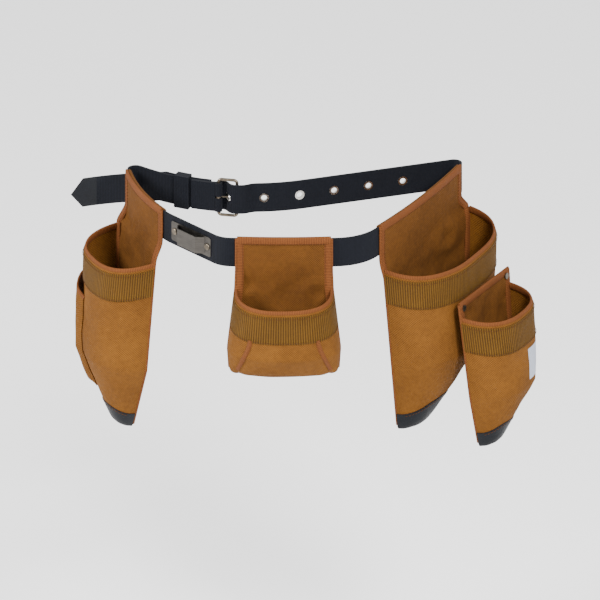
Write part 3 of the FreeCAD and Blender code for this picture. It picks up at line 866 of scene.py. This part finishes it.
# %% The side pocket
SLEEVE_EDGE = -0.0298
SLEEVE_STAND = 0.0078
SLEEVE_TOP = 0.050
SLEEVE_LOW = 0.044
SLEEVE_STEPS = 30
ROW_STEPS = 40
FOOT_STEPS = 20


def sleeve_point(u, v):
    t = 0.02 + 0.40 * u
    along = LEFT.outline(t, LEFT.rim_z - 0.06)[0]
    slant = max(0.0, along - SLEEVE_EDGE + 0.0442) * math.tan(math.radians(30))
    high = LEFT.rim_z - SLEEVE_TOP - slant
    low = LEFT.low_z + SLEEVE_LOW
    z = high + (low - high) * v
    sewn = min(1.0, (1 - u) / 0.22) * min(1.0, (1 - v) / 0.05)
    lift = FRONT_CLOTH + SLEEVE_STAND * math.sin(sewn * math.pi / 2)
    return LEFT.skin(t, z, lift)


def make_sleeve():
    piece = laid_grid("left_side_pocket", SLEEVE_STEPS, 44, sleeve_point)
    finish_cloth(piece, FRONT_CLOTH, CANVAS, -1.0)
    mouth = [sleeve_point(i / SLEEVE_STEPS, 0.012) for i in range(SLEEVE_STEPS + 1)]
    ups = [LEFT.hang.turned(0, 1)] * len(mouth)
    lip = tape("left_side_pocket_tape", mouth, ups, 0.0082, 0.0034, TAPE)
    out = LEFT.hang.out
    lines = []
    for u in (0.955, 0.905):
        lines.append([sleeve_point(u, 0.04 + 0.92 * i / ROW_STEPS) for i in range(ROW_STEPS + 1)])
    lines.append([sleeve_point(0.1 + 0.85 * i / FOOT_STEPS, 0.975) for i in range(FOOT_STEPS + 1)])
    rows = [([p + out * 0.0004 for p in line], [out] * len(line)) for line in lines]
    return piece, lip, seam("left_side_pocket_stitches", rows)


# %% [markdown]
# The small centre pouch is cut in three: a flat front and two side gussets. A piped seam joins
# them, from under the band out to each bottom corner, and the cloth pinches in along it.

# %% Piped seams
PIPING_STEPS = 26
PIPING_WIDE = 0.0066
PIPING_THICK = 0.0054


def gusset_line(pouch, side):
    points, outs = [], []
    high = pouch.rim_z - pouch.rim_dip - BAND_FOOT
    low = pouch.low_z + 0.009
    for i in range(PIPING_STEPS + 1):
        share = i / PIPING_STEPS
        t = 0.5 + side * (GUSSET_TOP + GUSSET_SPREAD * share ** 1.8)
        z = high + (low - high) * share
        points.append(pouch.skin(t, z, 0.0006))
        outs.append((pouch.skin(t, z, 0.02) - pouch.skin(t, z, 0.0)).normalized())
    return points, outs


def make_piping(pouch):
    made = []
    for word, side in (("near", -1), ("far", 1)):
        points, outs = gusset_line(pouch, side)
        ahead = directions(points)
        ways = [way.cross(out).normalized() for way, out in zip(ahead, outs)]
        made.append(tape(pouch.name + "_piping_" + word, points, ways, PIPING_WIDE,
                         PIPING_THICK, TAPE, 0.9))
    return made


# %% [markdown]
# A plain woven label is sewn on the second pouch. It carries no mark.

# %% The label
LABEL_CLOTH = 0.0007
LABEL_STEPS = 12


def label_point(u, v):
    z = SECOND.rim_z - SECOND.rim_dip * 0.55 - 0.056 - 0.040 * v
    t = 0.592 + (u - 0.5) * 0.146
    return SECOND.skin(t, z, 0.0012)


def make_label():
    piece = laid_grid("second_label_cloth", LABEL_STEPS, 14, label_point)
    finish_cloth(piece, LABEL_CLOTH, LABEL, -1.0)
    middle_z = SECOND.rim_z - 0.08
    out = (SECOND.skin(0.6, middle_z, 0.02) - SECOND.skin(0.6, middle_z)).normalized()
    corners = [(0.07, 0.05), (0.93, 0.05), (0.93, 0.95), (0.07, 0.95), (0.07, 0.05)]
    rows = []
    for (a, b), (c, d) in zip(corners, corners[1:]):
        shares = [i / LABEL_STEPS for i in range(LABEL_STEPS + 1)]
        line = [label_point(a + (c - a) * t, b + (d - b) * t) for t in shares]
        rows.append(([p + out * 0.0003 for p in line], [out] * len(line)))
    return piece, seam("second_label_stitches", rows, PALE_THREAD)


# %% [markdown]
# Now each pouch is put together. Most pieces are attached to the body they move with, and the
# CAD nodes they stand for are hidden.

# %% The four pouches
def blend_over(piece, pouch):
    seam_point = pouch.hang.seam
    tuple(seam_point + Vector((0, 0, 0.004)))
    tuple(seam_point - Vector((0, 0, 0.018)))
    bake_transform(piece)


def put(pieces, body):
    for piece in pieces:
        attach(piece, body)


def add_back(pouch):
    """The back panel, its bound edges and its stitches."""
    name = pouch.name
    back = make_back(pouch)
    bound = make_edges(pouch) + [make_top(pouch)]
    seams = make_panel_seams(pouch)
    if pouch.hang.radius:
        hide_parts(name + "_back_panel", name + "_tunnel")
        for piece in [back, seams] + bound[:2]:
            blend_over(piece, pouch)
        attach(bound[2], name + "_hanger")
    else:
        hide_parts(name + "_back_panel")
        for piece in [back, seams] + bound:
            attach(piece, name + "_pouch")
    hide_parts(name + "_edge_binding")
    for piece in bound + [seams]:
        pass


def add_front(pouch):
    """The bellied front, its ribbed band, rim tape, stitches and leather tip."""
    name = pouch.name
    body = name + "_pouch"
    front = make_front(pouch)
    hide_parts(name + "_front")
    put([front], body)
    band = make_band(pouch)
    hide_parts(name + "_band")
    put([band], body)
    rim = make_rim(pouch)
    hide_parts(name + "_rim_binding")
    put([rim, make_front_seams(pouch)], body)
    if pouch.tip_h:
        tip, stitches = make_tip(pouch)
        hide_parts(name + "_tip")
        put([tip], body)
        put([stitches], body)
    print(name, "front faces", len(front.data.polygons))


for pouch in POUCHES:
    add_back(pouch)
    add_front(pouch)

# %% [markdown]
# Three things belong to one pouch only: the side pocket, the label and the piping.

# %% Pocket, label and piping
pocket, lip, pocket_seam = make_sleeve()
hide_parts("left_sleeve")
put([pocket], "left_pouch")
label, label_seam = make_label()
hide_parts("second_label")
put([label, label_seam], "second_pouch")
put([lip, pocket_seam], "left_pouch")
put(make_piping(CENTRE), "centre_pouch")
print("pocket faces", len(pocket.data.polygons), "label faces", len(label.data.polygons))

# %% [markdown]
# The CAD nodes that are already right keep their shape and get their finish here.

# %% Finishes on the carried-over nodes
def dress(node, material):
    piece = bpy.data.objects[node]
    for slot in piece.material_slots:
        slot.material = material


for node, material in (("strap_webbing", WEBBING), ("keeper_loop", WEBBING),
                       ("strap_tip", LEATHER), ("strap_eyelets", NICKEL),
                       ("buckle_frame", BRONZE), ("buckle_prong", BRONZE),
                       ("clip_plate", PEWTER), ("clip_bridge", PEWTER),
                       ("clip_rivets", BRONZE), ("second_rivets", BRONZE)):
    dress(node, material)
    print(node, "is", material.name)

# %% [markdown]
# The belt is held up as a wearer would hold it, above a plain pale floor, in soft light.

# %% Floor, light and camera
EYE_LINE = 25.0
PICTURE_WIDTH = 0.7398
FLOOR_BELOW = 0.45
DAYLIGHT = 1.55
KEY_POWER = 105
FILL_POWER = 85
AIM = (0, 0, -0.1)
bpy.ops.object.select_all(action="DESELECT")
bpy.ops.mesh.primitive_plane_add(size=12, location=(0, 0, cad_low.z - FLOOR_BELOW))
floor = bpy.context.object
floor.name = "floor"
pale = Finish("pale_floor")
pale.set(Base_Color=(0.98, 0.98, 0.98, 1), Roughness=0.95)
floor.data.materials.append(pale.material)

world = bpy.data.worlds.new("studio")
bpy.context.scene.world = world
world.use_nodes = True
background = world.node_tree.nodes["Background"]
background.inputs["Color"].default_value = (1, 1, 1, 1)
background.inputs["Strength"].default_value = DAYLIGHT


def lamp(name, spot, size, power):
    bpy.ops.object.light_add(type="AREA", location=spot)
    light = bpy.context.object
    light.name = name
    light.data.size = size
    light.data.energy = power
    light.rotation_euler = (Vector(AIM) - Vector(spot)).to_track_quat("-Z", "Y").to_euler()


lamp("key_light", (0.95, -1.75, 1.45), 0.5, KEY_POWER)
lamp("fill_light", (-1.75, -0.75, 1.15), 0.7, FILL_POWER)

middle = Vector((0.0068, -0.1342, -0.0525))
pitch = math.radians(EYE_LINE)
back_off = Vector((0, -math.cos(pitch), math.sin(pitch))) * 2.0
bpy.ops.object.camera_add(location=middle + back_off, rotation=(math.pi / 2 - pitch, 0, 0))
camera = bpy.context.object
camera.data.type = "ORTHO"
camera.data.ortho_scale = PICTURE_WIDTH
camera.data.clip_end = 50
bpy.context.scene.camera = camera
print("camera at", [round(v, 3) for v in camera.location])
